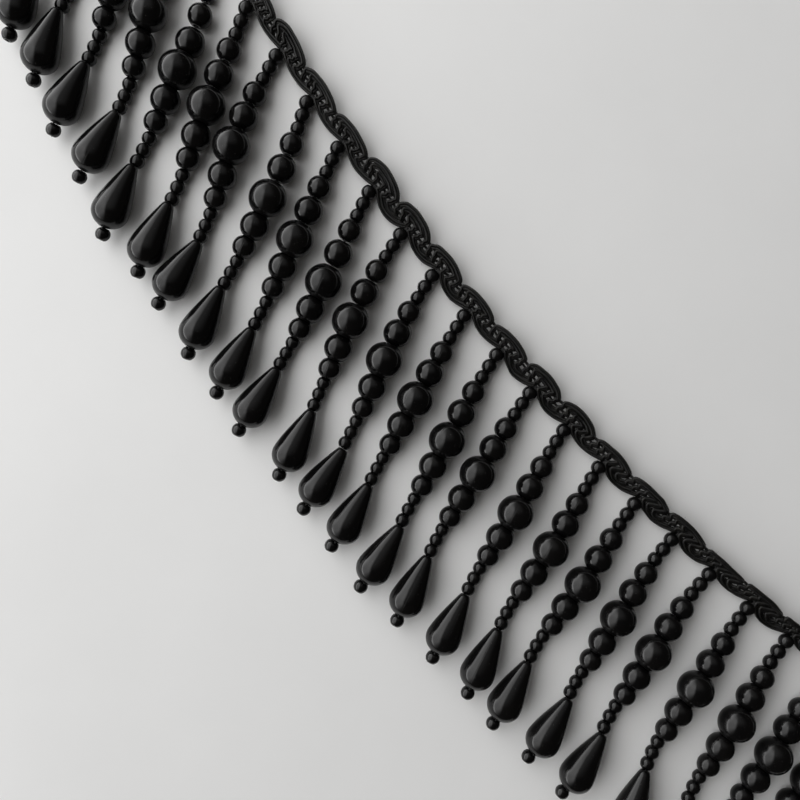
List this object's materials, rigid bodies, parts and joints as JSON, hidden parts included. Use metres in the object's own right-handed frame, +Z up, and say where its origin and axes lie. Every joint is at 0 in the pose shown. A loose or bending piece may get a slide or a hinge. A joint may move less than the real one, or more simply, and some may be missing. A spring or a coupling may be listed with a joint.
{
  "type": "beaded fringe trim",
  "caption": "Cut length of black beaded fringe trim: a narrow scalloped scroll braid with graduated round beads and a teardrop on each hanging thread.",
  "frame": {"origin": "middle of the footprint, on the surface that the trim lies on", "axes": "+X along the braid, +Y from the bead tips towards the braid, +Z up off the surface; the drops lean from -Y towards +X"},
  "size_m": [0.2936, 0.081, 0.0074],
  "materials": {
    "braid_yarn": "satin wrapped cord, black",
    "bead_black": "polished, black"
  },
  "bodies": {
    "root": {"braid": "braid_yarn", "tassel_01": "bead_black", "tassel_02": "bead_black", "tassel_03": "bead_black", "tassel_04": "bead_black", "tassel_05": "bead_black", "tassel_06": "bead_black", "tassel_07": "bead_black", "tassel_08": "bead_black", "tassel_09": "bead_black", "tassel_10": "bead_black", "tassel_11": "bead_black", "tassel_12": "bead_black", "tassel_13": "bead_black", "tassel_14": "bead_black", "tassel_15": "bead_black", "tassel_16": "bead_black", "tassel_17": "bead_black", "tassel_18": "bead_black", "tassel_19": "bead_black", "tassel_20": "bead_black", "tassel_21": "bead_black", "tassel_22": "bead_black", "tassel_23": "bead_black", "tassel_24": "bead_black"}
  },
  "joints": []
}
